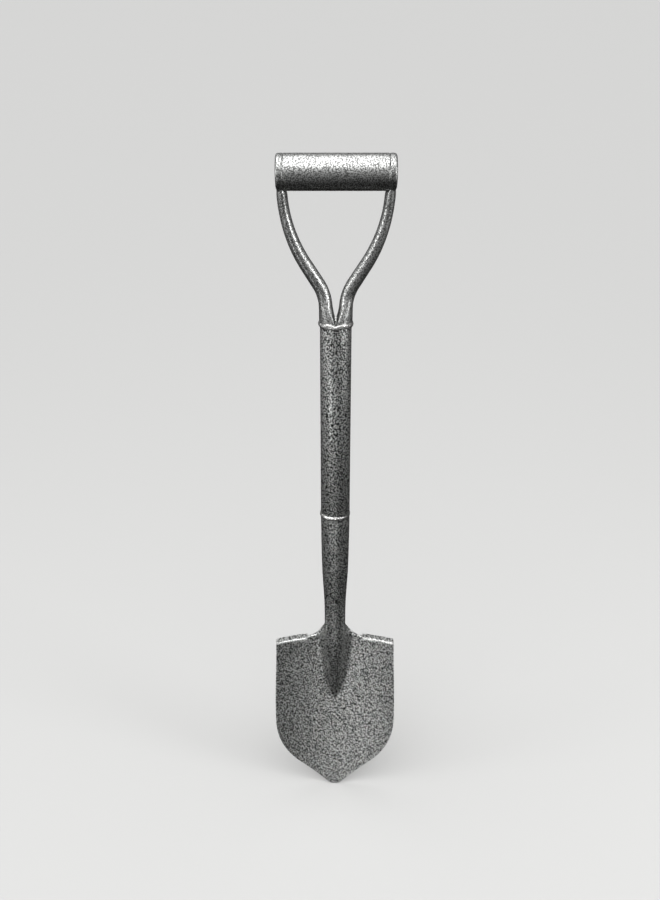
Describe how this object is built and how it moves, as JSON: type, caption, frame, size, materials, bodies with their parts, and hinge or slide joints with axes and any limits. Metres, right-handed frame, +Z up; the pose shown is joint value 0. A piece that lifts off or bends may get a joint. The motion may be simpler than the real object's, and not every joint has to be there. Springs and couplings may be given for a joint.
{
  "type": "shovel",
  "caption": "Compact all-steel digging shovel: pressed round-point blade with turned foot treads and rolled socket, welded tube shaft, and a Y fork holding a tube grip.",
  "frame": {"origin": "under the middle of the bounding box, level with the tip of the blade", "axes": "+Z up along the shaft from the tip to the grip, the blade's hollow side faces -Y, +X to the right seen from the front"},
  "size_m": [0.1378, 0.0438, 0.732],
  "materials": {
    "hammertone_paint": "glossy dark-silver hammertone paint",
    "painted_weld": "hammertone paint over a coarse weld bead",
    "plain_steel": "bare turned steel"
  },
  "bodies": {
    "root": {"blade": "hammertone_paint", "socket_seam_weld": "painted_weld", "socket_weld": "painted_weld", "shaft_tube": "hammertone_paint", "fork_weld": "painted_weld", "left_fork_arm": "hammertone_paint", "right_fork_arm": "hammertone_paint", "grip_tube": "hammertone_paint", "left_grip_plug": "plain_steel", "right_grip_plug": "plain_steel", "grip_rod": "hammertone_paint"}
  },
  "joints": []
}
